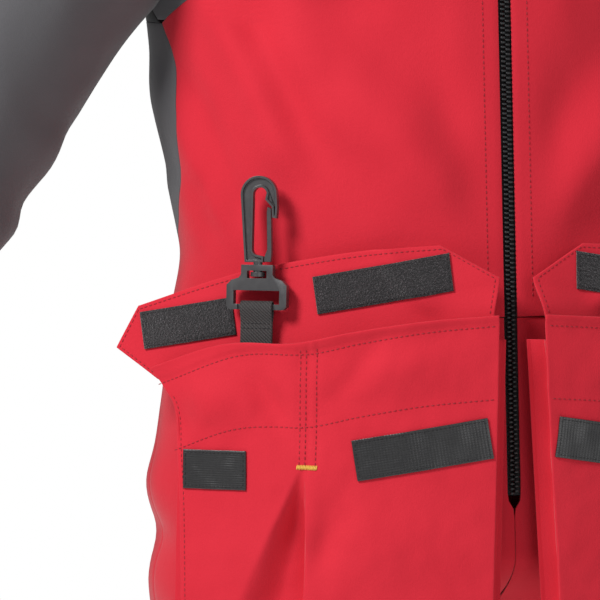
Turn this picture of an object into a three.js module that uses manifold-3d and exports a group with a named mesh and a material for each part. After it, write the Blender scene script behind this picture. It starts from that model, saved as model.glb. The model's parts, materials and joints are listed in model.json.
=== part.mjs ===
// A one-piece ski suit with raglan sleeves, a full-length front zip and two slanted
// bellows hip pockets. Millimetres, +Z up, the front faces -Y, the wearer's left is +X.
import * as THREE from 'three';
import { mergeVertices } from 'three/addons/utils/BufferGeometryUtils.js';
import Module from 'manifold-3d';

const wasm = await Module();
wasm.setup();

// ---------------------------------------------------------------- driving sizes
const GAP = 0.35; // between pieces that meet edge to edge
const CLOTH = 1.5; // softshell thickness
const FRONT_FOOT = -142; // y of the straight front line at FRONT_FOOT_Z
const FRONT_FOOT_Z = 850;
const FRONT_LEAN = 0.1; // the front line leans back by this much per mm of height
const WAIST_SEAM_Z = 1005;
const NECK_Z = 1440;
const COLLAR_HEIGHT = 42;
const COLLAR_WALL = 2.4;
const CROTCH_Z = 775;
const PINCH_Z = 860; // below this height the trunk divides into two legs
const ARMHOLE_Z = 1183;
const GUSSET_TOP_Z = 1235;
const SIDE_POINT_Z = 1043; // the lower point of the side panel
const HEM_Z = 20;
const HEM_BAND = 60;

const ZIP_EDGE = 4; // from the centre line to the edge of each front panel
const ZIP_BOTTOM_Z = 896;
const TEETH_WIDTH = 2.9;
const TEETH_FRONT = 1; // how far the teeth stand off the front line
const TAPE_WIDTH = 15;
const TAPE_THICKNESS = 0.8;
const TAPE_GAP = 0.7; // between the tape and the collar in front of it
const SLIDER_WIDTH = 10;
const SLIDER_LENGTH = 15;
const PULL_LENGTH = 34;
const PULL_WIDTH = 9;
const CROWN_WIDTH = 3.2;

const SLEEVE_RADIUS = 74;
const WRIST_RADIUS = 50;
const SLEEVE_GAP = 1; // between the armhole and the sleeve in it
const CUFF_LENGTH = 45;
const CUFF_WALL = 2.6;
const CUFF_INSET = 0.6; // how much the cuff is drawn in from the sleeve

const POCKET_ANGLE = 37; // where the pocket's centre seam sits round the hip, degrees from the front
const POCKET_HIP_Z = 950;
const POCKET_LEAN = 0.09; // the pocket leans with the trousers under it
const POCKET_STAND = 20.6; // how far the pocket's front stands off the hip
const POCKET_BEND = 320; // radius of the pocket's front, seen from above
const POCKET_OUTER = 90; // from the centre seam to the outer side
const POCKET_INNER = 114; // from the centre seam to the side by the zip
const POCKET_BOTTOM_Z = 802;
const BELLOWS = 17; // depth of the pocket's bag
const BAG_WALL = 1.3;
const LIP_Z = 991; // pocket mouth at the centre seam
const MOUTH_SLOPE = 0.185;
const PATCH = 1.4; // thickness of hook or loop tape

const FLAP_TILT = THREE.MathUtils.degToRad(10.5);
const FLAP_ROOT_Z = 983.5;
const FLAP_ROOT_STAND = 9;
const FLAP_LEAN = 0.085; // on top of the pocket's lean
const FLAP_BEND = 520; // radius of the flap, seen from above

const HOOK_Q = -35.7; // the snap hook's place along the pocket
const HOOK_STAND = 14.6;
const HOOK_BASE_Z = 1010;
const HOOK_BASE_WIDTH = 38;
const HOOK_BASE_HEIGHT = 27.5;
const HOOK_BASE_DEPTH = 6.4;
const HOOK_LENGTH = 53;
const HOOK_RADIUS = 11.4;
const HOOK_DEPTH = 5;
const NECK_RADIUS = 2.8;
const HOOK_NECK_LENGTH = 9;
const HOOK_HEAD_RADIUS = 4.6; // the swivel's head, flattened to fit inside the base
const HOOK_HEAD_HEIGHT = 3;
const HOOK_CLEARANCE = 1.6; // from the top of the base to the foot of the hook
const SWIVEL_PLAY = 0.35; // round the hook's neck in the base
const BASE_SHOULDER = 18; // height of the base's side legs
const BASE_COLLAR = 20; // width of the base where the swivel goes through
const BASE_WINDOW = 29; // the slot for the webbing, between the side legs
const BASE_WINDOW_HEIGHT = 8.4;
const BAR_HEIGHT = 3.4;
const BAR_DEPTH = 3.4;
const GATE_THINNER = 1; // the gate is thinner than the hook by this
const WEBBING_WIDTH = 20;
const WEBBING = 1.2;
const WEBBING_DROP = 41; // how far the strap goes down below the foot of the hook's base

// ---------------------------------------------------------------- materials
const cloth = (color) => new THREE.MeshStandardMaterial({ color, roughness: 0.85, metalness: 0 });
const RED = cloth(0xc82834);
const GREY = cloth(0x585658);
const BLACK = cloth(0x1c191c);
const WEB = cloth(0x373434);
const HARD = new THREE.MeshStandardMaterial({ color: 0x555254, roughness: 0.4, metalness: 0 });
const METAL = new THREE.MeshStandardMaterial({ color: 0x2e2e30, roughness: 0.35, metalness: 0.8 });

// ---------------------------------------------------------------- small helpers
const rad = THREE.MathUtils.degToRad;

// A value that runs straight from pair to pair of [place, value], given in rising order of place.
function through(pairs) {
  return (at) => {
    if (at <= pairs[0][0]) return pairs[0][1];
    for (let n = 1; n < pairs.length; n += 1) {
      const [low, from] = pairs[n - 1];
      const [high, to] = pairs[n];
      if (at <= high) {
        const share = (at - low) / (high - low);
        return from + (to - from) * share;
      }
    }
    return pairs[pairs.length - 1][1];
  };
}

function closed(geometry) {
  geometry.deleteAttribute('normal');
  geometry.deleteAttribute('uv');
  return mergeVertices(geometry, 1e-4);
}

// A box of cells whose corners are moved by place(i, j, k), each from 0 to 1. The cells of
// its back are split along the same diagonals as those of its front, so that a bent slab
// is as thick everywhere.
function slab(cells, place) {
  const box = new THREE.BoxGeometry(1, 1, 1, cells[0], cells[1], cells[2] ?? 1);
  const back = box.groups[5];
  const corners = box.index.array;
  for (let n = back.start; n < back.start + back.count; n += 6) {
    const [a, b, d, , c] = corners.slice(n, n + 6);
    corners.set([a, b, c, a, c, d], n);
  }
  const points = box.attributes.position;
  for (let n = 0; n < points.count; n += 1) {
    const at = place(points.getX(n) + 0.5, points.getY(n) + 0.5, points.getZ(n) + 0.5);
    points.setXYZ(n, at.x, at.y, at.z);
  }
  return closed(box);
}

// A capped drum whose rim points are moved by place(turn in degrees, share of height).
// The cap centres go to the middle of their rims.
function drum(round, rows, place) {
  const barrel = new THREE.CylinderGeometry(1, 1, 1, round, rows);
  const points = barrel.attributes.position;
  for (let n = 0; n < points.count; n += 1) {
    const across = new THREE.Vector2(points.getX(n), points.getZ(n));
    const share = points.getY(n) + 0.5;
    let at = place(THREE.MathUtils.radToDeg(Math.atan2(across.x, across.y)), share);
    if (across.length() < 0.5) {
      at = place(0, share).add(place(180, share)).multiplyScalar(0.5);
    }
    points.setXYZ(n, at.x, at.y, at.z);
  }
  return closed(barrel);
}

function solid(geometry) {
  const merged = closed(geometry);
  const vertProperties = new Float32Array(merged.attributes.position.array);
  const triVerts = new Uint32Array(merged.index.array);
  return new wasm.Manifold(new wasm.Mesh({ numProp: 3, vertProperties, triVerts }));
}

function geometryOf(body) {
  const mesh = body.getMesh();
  const geometry = new THREE.BufferGeometry();
  geometry.setAttribute('position', new THREE.BufferAttribute(mesh.vertProperties, 3));
  geometry.setIndex(new THREE.BufferAttribute(mesh.triVerts, 1));
  return geometry;
}

function mirrored(geometry) {
  const copy = geometry.clone();
  copy.scale(-1, 1, 1);
  const corners = copy.index.array;
  for (let n = 0; n < corners.length; n += 3) {
    [corners[n], corners[n + 1]] = [corners[n + 1], corners[n]];
  }
  return copy;
}

const suit = new THREE.Group();

function add(name, geometry, material) {
  const mesh = new THREE.Mesh(geometry, material);
  mesh.name = name;
  suit.add(mesh);
}

// The wearer's right piece is the one modelled; the left one is its mirror image.
function addPair(name, geometry, material) {
  add(`${name}_right`, geometry, material);
  add(`${name}_left`, mirrored(geometry), material);
}

// ---------------------------------------------------------------- the body form
const frontY = (z) => FRONT_FOOT + FRONT_LEAN * (z - FRONT_FOOT_Z);
const halfWidth = through([
  [CROTCH_Z, 201], [870, 199], [909, 197], [961, 194], [1005, 188], [1040, 183], [1101, 191],
  [1144, 198], [1178, 201], [1210, 204], [1260, 203], [1320, 192], [1370, 166], [1400, 134],
  [NECK_Z, 80], [NECK_Z + COLLAR_HEIGHT, 75],
]);
const backY = through([
  [CROTCH_Z, 118], [870, 132], [920, 132], [961, 124], [1005, 114], [1040, 109], [1120, 118],
  [1200, 130], [1300, 128], [1370, 112], [1410, 92], [NECK_Z, 70], [NECK_Z + COLLAR_HEIGHT, 62],
]);

// One leg below the trunk: its centre, half width and half depth.
const legWidth = through([[HEM_Z, 74], [260, 72], [480, 82], [620, 94], [CROTCH_Z, 100]]);
const legCentre = through([[HEM_Z, 116], [480, 108], [CROTCH_Z, 100.3]]);
const legFrontY = through([[HEM_Z, -78], [260, -76], [480, -92], [620, -104], [CROTCH_Z, -118]]);
const legBackY = through([[HEM_Z, 82], [260, 84], [480, 86], [620, 100], [CROTCH_Z, 112]]);

// How far the cross-section has divided into two legs, from 0 to 1.
function divided(z) {
  const share = THREE.MathUtils.clamp((PINCH_Z - z) / (PINCH_Z - CROTCH_Z), 0, 1);
  return share * share * (3 - 2 * share);
}

// A point of the trunk's outline, turn degrees from the front towards the wearer's left.
function trunk(turn, z) {
  const depth = (backY(z) - frontY(z)) / 2;
  const centre = (backY(z) + frontY(z)) / 2;
  const angle = rad(turn);
  return new THREE.Vector2(halfWidth(z) * Math.sin(angle), centre - depth * Math.cos(angle));
}

// The same for the trunk that divides into legs: turn runs from 0 to 180 round one side.
function trousers(turn, z) {
  const leg = rad(2 * turn);
  const centre = (legFrontY(z) + legBackY(z)) / 2;
  const depth = (legBackY(z) - legFrontY(z)) / 2;
  const lobe = new THREE.Vector2(
    legCentre(z) - legWidth(z) * Math.cos(leg),
    centre - depth * Math.sin(leg),
  );
  return trunk(turn, Math.max(z, CROTCH_Z)).lerp(lobe, divided(z));
}

// The outline's point moved outward by offset.
function outward(outline, turn, z, offset) {
  const step = 0.5;
  const at = outline(turn, z);
  const along = outline(turn + step, z).sub(outline(turn - step, z)).normalize();
  return new THREE.Vector3(at.x + along.y * offset, at.y - along.x * offset, z);
}

// A cloth panel between two edges, each given as a turn by height.
function panel(outline, edges, heights, offsets, cells) {
  return slab(cells, (i, j, k) => {
    const z = THREE.MathUtils.lerp(heights[0], heights[1], j);
    const turn = THREE.MathUtils.lerp(edges[0](z), edges[1](z), i);
    return outward(outline, turn, z, THREE.MathUtils.lerp(offsets[0], offsets[1], k));
  });
}

// The turn at which a trunk point lies this many mm from the centre line.
const turnAt = (width, z) => THREE.MathUtils.radToDeg(Math.asin(width / halfWidth(z)));
const seamGap = (z) => turnAt(1.8 * GAP, z);

// ---------------------------------------------------------------- torso panels
const frontEdge = through([
  [WAIST_SEAM_Z, 97], [SIDE_POINT_Z, 97], [1060, 87], [1082, 79.5], [1125, 74.6], [1157, 73.5],
  [1169, 74.6], [ARMHOLE_Z, 78], [1207, 58], [1300, 45], [1350, 40], [NECK_Z, 44],
]);
const backEdge = through([
  [WAIST_SEAM_Z, 97], [SIDE_POINT_Z, 97.4], [1060, 105], [1082, 110], [1125, 116],
  [ARMHOLE_Z, 120], [1207, 126], [1300, 130], [NECK_Z, 132],
]);
const TORSO_SKIN = [-CLOTH, 0];
const SHOULDER_TURN = 90; // the shoulder seam between the two yokes

const torsoForm = solid(drum(32, 20, (turn, share) => {
  const z = THREE.MathUtils.lerp(WAIST_SEAM_Z, NECK_Z, share);
  return outward(trunk, turn, z, GAP);
}));

// The sleeve's middle line, from inside the shoulder to the wrist, with a radius at each station.
const SLEEVE_LINE = new THREE.CatmullRomCurve3([
  new THREE.Vector3(120, 8, 1322), new THREE.Vector3(200, 8, 1298), new THREE.Vector3(272, 6, 1222),
  new THREE.Vector3(346, 0, 1090), new THREE.Vector3(406, -22, 965), new THREE.Vector3(456, -48, 855),
]);
const sleeveRadius = through([[0, 62], [0.2, 78], [0.4, SLEEVE_RADIUS], [0.7, 62], [1, WRIST_RADIUS]]);

// The tube's ends can run on by a share of the line, to cut right through another tube.
function sleeveTube(from, to, grow, rows, runOn = 0) {
  const side = new THREE.Vector3(0, 1, 0);
  return solid(drum(18, rows, (turn, share) => {
    const at = THREE.MathUtils.lerp(from, to, share) + runOn * Math.trunc(2 * share - 1);
    const centre = SLEEVE_LINE.getPoint(THREE.MathUtils.clamp(at, 0, 1));
    const along = SLEEVE_LINE.getTangent(THREE.MathUtils.clamp(at, 0, 1));
    centre.addScaledVector(along, (at - THREE.MathUtils.clamp(at, 0, 1)) * SLEEVE_LINE.getLength());
    const across = new THREE.Vector3().crossVectors(along, side).normalize();
    const upright = new THREE.Vector3().crossVectors(across, along);
    const radius = sleeveRadius(at) + grow;
    centre.addScaledVector(across, radius * Math.cos(rad(turn)));
    return centre.addScaledVector(upright, -radius * Math.sin(rad(turn)));
  }));
}

const sleeveCut = sleeveTube(0, 0.9, SLEEVE_GAP, 10, 0.02);
const cuffStart = 1 - CUFF_LENGTH / SLEEVE_LINE.getLength();
const leftOf = (geometry) => geometryOf(solid(geometry).subtract(sleeveCut));

// The heights at which every torso panel has a row of points, so that neighbours match.
const LEVELS = [
  1024, 1043, 1060, 1082, 1101, 1125, 1144, 1157, 1169, 1183, 1207, 1235, 1260, 1280,
  1300, 1320, 1350, 1370, 1390, 1410, 1425,
];

function torsoPanel(edges, heights, across) {
  const [low, high] = heights;
  const inside = LEVELS.filter((z) => z > low + 3 && z < high - 3);
  const rows = [low, ...inside, high];
  return slab([across, rows.length - 1], (i, j, k) => {
    const z = rows[Math.round(j * (rows.length - 1))];
    const turn = THREE.MathUtils.lerp(edges[0](z), edges[1](z), i);
    return outward(trunk, turn, z, THREE.MathUtils.lerp(TORSO_SKIN[0], TORSO_SKIN[1], k));
  });
}

function makeTorso() {
  const low = WAIST_SEAM_Z + GAP;
  const zipEdge = (z) => turnAt(ZIP_EDGE, z);
  const front = torsoPanel([zipEdge, (z) => frontEdge(z) - seamGap(z)], [low, NECK_Z], 6);
  const side = torsoPanel([frontEdge, (z) => backEdge(z) - seamGap(z)],
    [SIDE_POINT_Z + 1, ARMHOLE_Z - GAP], 3);
  const gusset = torsoPanel([frontEdge, (z) => backEdge(z) - seamGap(z)],
    [ARMHOLE_Z, GUSSET_TOP_Z - GAP], 5);
  const yokeHeights = [GUSSET_TOP_Z, NECK_Z];
  const yokeFront = torsoPanel([frontEdge, (z) => SHOULDER_TURN - seamGap(z)], yokeHeights, 3);
  const yokeBack = torsoPanel([() => SHOULDER_TURN, (z) => backEdge(z) - seamGap(z)], yokeHeights, 3);
  const back = torsoPanel([backEdge, (z) => 360 - backEdge(z)], [low, NECK_Z], 10);
  const pieces = [
    ['front_panel', front, RED], ['side_panel', side, GREY],
    ['underarm_gusset', gusset, BLACK],
    ['yoke_front', yokeFront, GREY], ['yoke_back', yokeBack, GREY],
  ];
  for (const [name, geometry, material] of pieces) {
    const cut = leftOf(geometry);
    add(`${name}_left`, cut, material);
    add(`${name}_right`, mirrored(cut), material);
  }
  const backLeft = solid(back).subtract(sleeveCut);
  const rightCut = solid(mirrored(geometryOf(sleeveCut)));
  add('back_panel', geometryOf(backLeft.subtract(rightCut)), RED);
}

function makeSleeves() {
  const outer = sleeveTube(0, cuffStart - GAP / SLEEVE_LINE.getLength(), 0, 10);
  const inner = sleeveTube(0, cuffStart - GAP / SLEEVE_LINE.getLength(), -CLOTH, 10, 0.03);
  const sleeve = geometryOf(outer.subtract(inner).subtract(torsoForm));
  add('sleeve_left', sleeve, GREY);
  add('sleeve_right', mirrored(sleeve), GREY);
  const inside = sleeveTube(0.85, 1.02, -CUFF_INSET - CUFF_WALL, 2);
  const cuff = geometryOf(sleeveTube(cuffStart, 1, -CUFF_INSET, 1).subtract(inside));
  add('cuff_left', cuff, BLACK);
  add('cuff_right', mirrored(cuff), BLACK);
}

function makeCollar() {
  const opening = (z) => turnAt(ZIP_EDGE, z);
  const heights = [NECK_Z + GAP, NECK_Z + COLLAR_HEIGHT];
  const ring = panel(trunk, [opening, (z) => 360 - opening(z)], heights, [-COLLAR_WALL, 0], [32, 1]);
  add('collar', ring, RED);
}

// ---------------------------------------------------------------- trouser panels
function makeTrousers() {
  const top = WAIST_SEAM_Z - GAP;
  const bandTop = HEM_Z + HEM_BAND;
  const seam = through([[PINCH_Z, 90], [WAIST_SEAM_Z, 97]]);
  const zipPart = through([[PINCH_Z - 12, 0], [PINCH_Z - 2, 1]]);
  const inside = (z) => 0.1 + zipPart(z) * turnAt(ZIP_EDGE, Math.max(z, CROTCH_Z));
  const heights = [bandTop + GAP, top];
  const front = panel(trousers, [inside, (z) => seam(z) - 0.1], heights, TORSO_SKIN, [6, 20]);
  const back = panel(trousers, [seam, () => 179.9], heights, TORSO_SKIN, [6, 20]);
  for (const [name, geometry] of [['trouser_front', front], ['trouser_back', back]]) {
    add(`${name}_left`, geometry, RED);
    add(`${name}_right`, mirrored(geometry), RED);
  }
  const band = (grow, low, high) => solid(drum(18, 1, (turn, share) => {
    const z = THREE.MathUtils.lerp(low, high, share);
    return outward(trousers, (180 + turn) / 2, z, grow);
  }));
  const hem = geometryOf(band(0, HEM_Z, bandTop).subtract(band(-CLOTH, HEM_Z - 5, bandTop + 5)));
  add('hem_band_left', hem, BLACK);
  add('hem_band_right', mirrored(hem), BLACK);
}

// ---------------------------------------------------------------- front zip
const zipOut = new THREE.Vector3(0, -1, FRONT_LEAN).normalize();

// A point given by its distance from the centre line, out from the front line, and height.
function onZip(x, out, z) {
  return new THREE.Vector3(x, frontY(z), z).addScaledVector(zipOut, out);
}

function zipBar(xs, outs, zs, rows) {
  return slab([1, rows, 1], (i, j, k) => onZip(
    THREE.MathUtils.lerp(xs[0], xs[1], i),
    THREE.MathUtils.lerp(outs[0], outs[1], k),
    THREE.MathUtils.lerp(zs[0], zs[1], j),
  ));
}

function makeZip() {
  const top = NECK_Z + COLLAR_HEIGHT - 3;
  const tapeBack = -(COLLAR_WALL + TAPE_GAP + TAPE_THICKNESS);
  const tape = slab([2, 18, 1], (i, j, k) => {
    const z = THREE.MathUtils.lerp(ZIP_BOTTOM_Z, top, j);
    const turn = turnAt(THREE.MathUtils.lerp(GAP / 2, TAPE_WIDTH, i), z);
    return outward(trunk, turn, z, tapeBack + k * TAPE_THICKNESS);
  });
  const teethX = [GAP / 2, GAP / 2 + TEETH_WIDTH];
  const teeth = zipBar(teethX, [-2, TEETH_FRONT], [ZIP_BOTTOM_Z, top - 2], 1);
  for (const [name, geometry] of [['zip_tape', tape], ['zip_teeth', teeth]]) {
    add(`${name}_left`, geometry, BLACK);
    add(`${name}_right`, mirrored(geometry), BLACK);
  }
  const sliderTop = top - 4;
  const half = SLIDER_WIDTH / 2;
  const face = TEETH_FRONT + 0.4; // the slider's plate runs this far off the front line
  const plateTop = face + 1.6;
  const plate = solid(zipBar([-half, half], [face, plateTop], [sliderTop - SLIDER_LENGTH, sliderTop], 1));
  const bridge = CROWN_WIDTH / 2;
  const crownZ = [sliderTop - SLIDER_LENGTH + 3, sliderTop - 3];
  const crown = solid(zipBar([-bridge, bridge], [plateTop - 0.2, plateTop + 4.2], crownZ, 1));
  const eyeZ = [crownZ[0] + 1.5, crownZ[1] - 1.5];
  const eye = solid(zipBar([-4, 4], [plateTop + 0.6, plateTop + 3], eyeZ, 1));
  add('zip_slider', geometryOf(plate.add(crown).subtract(eye)), METAL);
  const pinZ = eyeZ[1] - 1.7;
  const pullTop = pinZ + 1;
  const pull = PULL_WIDTH / 2;
  const handle = solid(zipBar([-pull, pull], [plateTop + 1.1, plateTop + 2.5],
    [pullTop - PULL_LENGTH, pullTop], 1));
  const windowZ = [crownZ[0] - 0.6, pinZ - 0.8];
  const window = solid(zipBar([-bridge - 0.8, bridge + 0.8], [plateTop, plateTop + 4], windowZ, 1));
  add('zip_pull', geometryOf(handle.subtract(window)), METAL);
}

// ---------------------------------------------------------------- pocket frame
// q runs along the pocket towards the zip, n outward from the hip, z up.
const hip = trunk(-POCKET_ANGLE, POCKET_HIP_Z);
const hipAlong = trunk(-POCKET_ANGLE + 0.5, POCKET_HIP_Z);
hipAlong.sub(trunk(-POCKET_ANGLE - 0.5, POCKET_HIP_Z)).normalize();
const pocketQ = new THREE.Vector3(hipAlong.x, hipAlong.y, 0);
const pocketN = new THREE.Vector3(hipAlong.y, -hipAlong.x, 0);

function atPocket(q, n, z) {
  const out = n - POCKET_LEAN * (z - POCKET_HIP_Z);
  return new THREE.Vector3(hip.x, hip.y, z).addScaledVector(pocketQ, q).addScaledVector(pocketN, out);
}

const frontStand = (q) => POCKET_STAND - (q * q) / (2 * POCKET_BEND);
const mouthZ = through([
  [-106, 966], [-88, 973], [-55, 986], [-35, 989.4], [0, LIP_Z], [32, 998], [72, 1005], [POCKET_INNER, 1009],
]);
const outerSide = through([[940, -POCKET_OUTER], [975, -POCKET_OUTER - 14]]);

function pocketBlock(sides, stands, heights, cells) {
  return slab(cells, (i, j, k) => {
    const q = THREE.MathUtils.lerp(sides[0], sides[1], i);
    const low = heights[0](q);
    const z = THREE.MathUtils.lerp(low, heights[1](q), j);
    const n = frontStand(q) + THREE.MathUtils.lerp(stands[0], stands[1], k);
    return atPocket(q, n, z);
  });
}

function makePocket() {
  const bagTop = (q) => 971.5 + MOUTH_SLOPE * q;
  const wall = BAG_WALL;
  const outer = pocketBlock([-POCKET_OUTER, POCKET_INNER], [-BELLOWS, -GAP],
    [() => POCKET_BOTTOM_Z, bagTop], [10, 1]);
  const inner = pocketBlock([wall - POCKET_OUTER, POCKET_INNER - wall], [wall - BELLOWS, 6],
    [() => POCKET_BOTTOM_Z + wall, (q) => bagTop(q) + 30], [10, 1]);
  addPair('pocket_bag', geometryOf(solid(outer).subtract(solid(inner))), RED);
  const front = slab([10, 6, 1], (i, j, k) => {
    const rough = THREE.MathUtils.lerp(-POCKET_OUTER, POCKET_INNER, i);
    const z = THREE.MathUtils.lerp(POCKET_BOTTOM_Z - 2, mouthZ(rough), j);
    const q = THREE.MathUtils.lerp(outerSide(z), POCKET_INNER, i);
    return atPocket(q, frontStand(q) + k * CLOTH, z);
  });
  addPair('pocket_front', front, RED);
}

// A tape patch on the pocket's front: its middle, length, width and turn in degrees.
function frontPatch(q, z, length, width, turn) {
  const along = new THREE.Vector2(Math.cos(rad(turn)), Math.sin(rad(turn)));
  return slab([5, 1, 1], (i, j, k) => {
    const run = (i - 0.5) * length;
    const rise = (j - 0.5) * width;
    const at = q + run * along.x - rise * along.y;
    const stand = frontStand(at) + CLOTH + GAP + k * PATCH;
    return atPocket(at, stand, z + run * along.y + rise * along.x);
  });
}

function makeHookPatches() {
  addPair('hook_patch_outer', frontPatch(-60, 912, 42, 24, 1), BLACK);
  addPair('hook_patch_inner', frontPatch(70, 927.5, 82, 25, 10), BLACK);
}

// ---------------------------------------------------------------- flap
// p runs along the fold towards the zip, h up the flap from the fold.
function atFlap(p, h, out) {
  const q = p * Math.cos(FLAP_TILT) - h * Math.sin(FLAP_TILT);
  const z = FLAP_ROOT_Z + p * Math.sin(FLAP_TILT) + h * Math.cos(FLAP_TILT);
  const stand = FLAP_ROOT_STAND - FLAP_LEAN * h - (p * p) / (2 * FLAP_BEND);
  return atPocket(q, stand + out, z);
}

const flapOuterEnd = through([[0, -104], [0.5, -129.5], [1, -111]]);
const flapInnerEnd = through([[0, 111], [0.5, 117.7], [1, 85]]);
const flapCrest = through([[0, 46.5], [0.32, 55.8], [0.53, 57.6], [0.78, 56.7], [1, 52]]);

function makeFlap() {
  const leaf = slab([12, 4, 1], (i, j, k) => {
    const p = THREE.MathUtils.lerp(flapOuterEnd(j), flapInnerEnd(j), i);
    return atFlap(p, j * flapCrest(i), k * CLOTH);
  });
  addPair('pocket_flap', leaf, RED);
}

function flapPatch(p, h, length, width) {
  return slab([5, 1, 1], (i, j, k) => {
    const run = p + (i - 0.5) * length;
    return atFlap(run, h + (j - 0.5) * width, CLOTH + GAP + k * PATCH);
  });
}

function makeLoopPatches() {
  addPair('loop_patch_outer', flapPatch(-79, 31, 62, 23), BLACK);
  addPair('loop_patch_inner', flapPatch(48, 35, 84, 23), BLACK);
}

// ---------------------------------------------------------------- webbing strap and snap hook
// Local shapes are drawn with x along q and y up, and their depth lies along n.
function fromHook(geometry, rise) {
  const up = new THREE.Vector3(0, 0, 1).addScaledVector(pocketN, -POCKET_LEAN).normalize();
  const out = new THREE.Vector3().crossVectors(pocketQ, up);
  const place = new THREE.Matrix4().makeBasis(pocketQ, up, out);
  place.setPosition(atPocket(HOOK_Q, HOOK_STAND, HOOK_BASE_Z).addScaledVector(up, rise));
  geometry.applyMatrix4(place);
  return geometry;
}

function plate(shape, depth) {
  const body = new THREE.ExtrudeGeometry(shape, { depth, bevelEnabled: false, curveSegments: 10 });
  body.translate(0, 0, -depth / 2);
  return solid(body);
}

function block(width, height, depth, x, y, z) {
  const body = new THREE.BoxGeometry(width, height, depth);
  body.translate(x, y, z);
  return solid(body);
}

function round(radius, low, high, sides) {
  const body = new THREE.CylinderGeometry(radius, radius, high - low, sides);
  body.translate(0, (low + high) / 2, 0);
  return solid(body);
}

function makeHookBase() {
  const half = HOOK_BASE_WIDTH / 2;
  const collar = BASE_COLLAR / 2;
  const shoulder = BASE_SHOULDER;
  const body = new THREE.Shape();
  body.moveTo(-half + 2, 0);
  body.lineTo(half - 2, 0);
  body.lineTo(half, 2);
  body.lineTo(half, shoulder - 3);
  body.lineTo(half - 3, shoulder);
  body.lineTo(collar + 1.5, shoulder + 1.5);
  body.lineTo(collar, shoulder + 3.5);
  body.lineTo(collar, HOOK_BASE_HEIGHT);
  body.lineTo(-collar, HOOK_BASE_HEIGHT);
  body.lineTo(-collar, shoulder + 3.5);
  body.lineTo(-collar - 1.5, shoulder + 1.5);
  body.lineTo(-half + 3, shoulder);
  body.lineTo(-half, shoulder - 3);
  body.lineTo(-half, 2);
  body.closePath();
  let base = plate(body, HOOK_BASE_DEPTH);
  const deep = 2 * HOOK_BASE_DEPTH;
  const slotMiddle = BAR_HEIGHT + BASE_WINDOW_HEIGHT / 2;
  base = base.subtract(block(BASE_WINDOW, BASE_WINDOW_HEIGHT, deep, 0, slotMiddle, 0));
  const beside = WEBBING_WIDTH + 4; // the bar is thinned where the webbing goes round it
  for (const side of [-1, 1]) {
    const face = side * (BAR_DEPTH / 2 + 2);
    base = base.subtract(block(beside, BAR_HEIGHT + 2, 4, 0, BAR_HEIGHT / 2, face));
  }
  const headWindow = HOOK_HEAD_HEIGHT + 1.6;
  const headWide = 2 * HOOK_HEAD_RADIUS + 3.2;
  const headMiddle = HOOK_BASE_HEIGHT + HOOK_CLEARANCE - HOOK_NECK_LENGTH + HOOK_HEAD_HEIGHT / 2;
  base = base.subtract(block(headWide, headWindow, deep, 0, headMiddle, 0));
  base = base.subtract(round(NECK_RADIUS + SWIVEL_PLAY, headMiddle, HOOK_BASE_HEIGHT + 1, 20));
  add('snap_hook_base', fromHook(geometryOf(base), 0), HARD);
}

function makeStrap() {
  const loop = BAR_HEIGHT / 2 + 1;
  const outside = loop + WEBBING;
  const middle = BAR_HEIGHT / 2;
  const profile = new THREE.Shape();
  profile.moveTo(-WEBBING, -WEBBING_DROP);
  profile.lineTo(WEBBING, -WEBBING_DROP);
  profile.lineTo(WEBBING, middle - 8);
  profile.lineTo(outside, middle - 1);
  profile.absarc(0, middle, outside, 0, Math.PI, false);
  profile.lineTo(-outside, middle - 1);
  profile.lineTo(-WEBBING, middle - 8);
  profile.closePath();
  const eye = new THREE.Path();
  eye.moveTo(loop, middle);
  eye.absarc(0, middle, loop, 0, Math.PI * 2, false);
  profile.holes.push(eye);
  const wide = { depth: WEBBING_WIDTH, bevelEnabled: false, curveSegments: 10 };
  const body = new THREE.ExtrudeGeometry(profile, wide);
  body.translate(0, 0, -WEBBING_WIDTH / 2);
  body.rotateY(-Math.PI / 2);
  add('key_strap', fromHook(closed(body), 0), WEB);
}

function makeHook() {
  const r = HOOK_RADIUS;
  const centreY = HOOK_LENGTH - r;
  const outline = new THREE.Shape();
  outline.moveTo(-8, 0);
  outline.lineTo(3.8, 0);
  outline.lineTo(3.8, 3.6);
  outline.lineTo(0.2, 4.4);
  outline.absarc(0.2, 8, 3.6, -Math.PI / 2, -Math.PI, true);
  outline.lineTo(-3.4, centreY);
  outline.absarc(0.9, centreY, 4.3, Math.PI, 0.25, true);
  outline.lineTo(4.2, centreY - 3.2);
  outline.lineTo(8.4, centreY - 7.5);
  outline.lineTo(8.8, 27.5);
  outline.lineTo(11.6, 27);
  outline.lineTo(12, 33.5);
  outline.lineTo(r, centreY);
  outline.absarc(0, centreY, r, 0, Math.PI, false);
  outline.closePath();
  const body = plate(outline, HOOK_DEPTH);
  const neck = round(NECK_RADIUS, -HOOK_NECK_LENGTH, 1, 16);
  const head = round(HOOK_HEAD_RADIUS, -HOOK_NECK_LENGTH, HOOK_HEAD_HEIGHT - HOOK_NECK_LENGTH, 16);
  const flat = HOOK_BASE_DEPTH - 0.4;
  const trimmed = head.intersect(block(4 * HOOK_HEAD_RADIUS, 20, flat, 0, -HOOK_NECK_LENGTH, 0));
  const top = HOOK_BASE_HEIGHT + HOOK_CLEARANCE;
  add('snap_hook', fromHook(geometryOf(body.add(neck).add(trimmed)), top), HARD);
  const gate = new THREE.Shape();
  gate.moveTo(4.2, 0.3);
  gate.lineTo(8.4, 0.3);
  gate.lineTo(8.9, 6);
  gate.lineTo(7.9, 33);
  gate.lineTo(5.6, 34);
  gate.lineTo(5.2, 31);
  gate.lineTo(6, 8);
  gate.lineTo(4.2, 3);
  gate.closePath();
  add('snap_hook_gate', fromHook(geometryOf(plate(gate, HOOK_DEPTH - GATE_THINNER)), top), HARD);
}

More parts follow.
